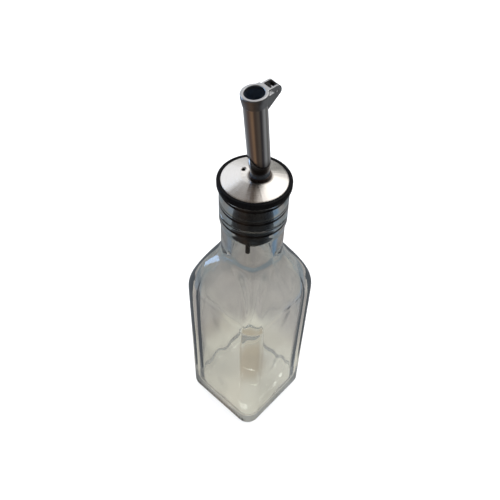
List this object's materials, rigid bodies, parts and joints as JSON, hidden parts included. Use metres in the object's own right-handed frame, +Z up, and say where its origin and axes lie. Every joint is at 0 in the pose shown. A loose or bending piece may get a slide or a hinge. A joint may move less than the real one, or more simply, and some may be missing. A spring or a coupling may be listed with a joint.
{
  "type": "glass oil bottle",
  "caption": "Square clear glass bottle for oil or vinegar, with a black push-in stopper, a steel cap, a vent and a leaning open steel pouring spout with a slotted hinge lug at its mouth.",
  "frame": {"origin": "middle of the base, on the surface that the bottle stands on", "axes": "+Z up the bottle's axis, X and Y square to its flat panels, the spout leaning towards -Y"},
  "size_m": [0.052, 0.052, 0.2267],
  "materials": {
    "clear_glass": "clear, faintly green-grey",
    "black_stopper": "satin black",
    "black_vent": "smooth black",
    "brushed_cap": "turned, brushed in rings",
    "drawn_tube": "polished",
    "cast_tip": "satin plated casting",
    "steel_pin": "polished"
  },
  "bodies": {
    "bottle": {"glass_bottle": "clear_glass"},
    "pourer": {"stopper": "black_stopper", "vent_tube": "black_vent", "steel_cap": "brushed_cap", "spout_tube": "drawn_tube", "spout_tip": "cast_tip", "hinge_pin": "steel_pin"}
  },
  "joints": [
    {"name": "pourer_lift", "type": "slide", "parent": "bottle", "child": "pourer", "axis": [0, 0, 1], "range_m": [0, 0.045]}
  ]
}
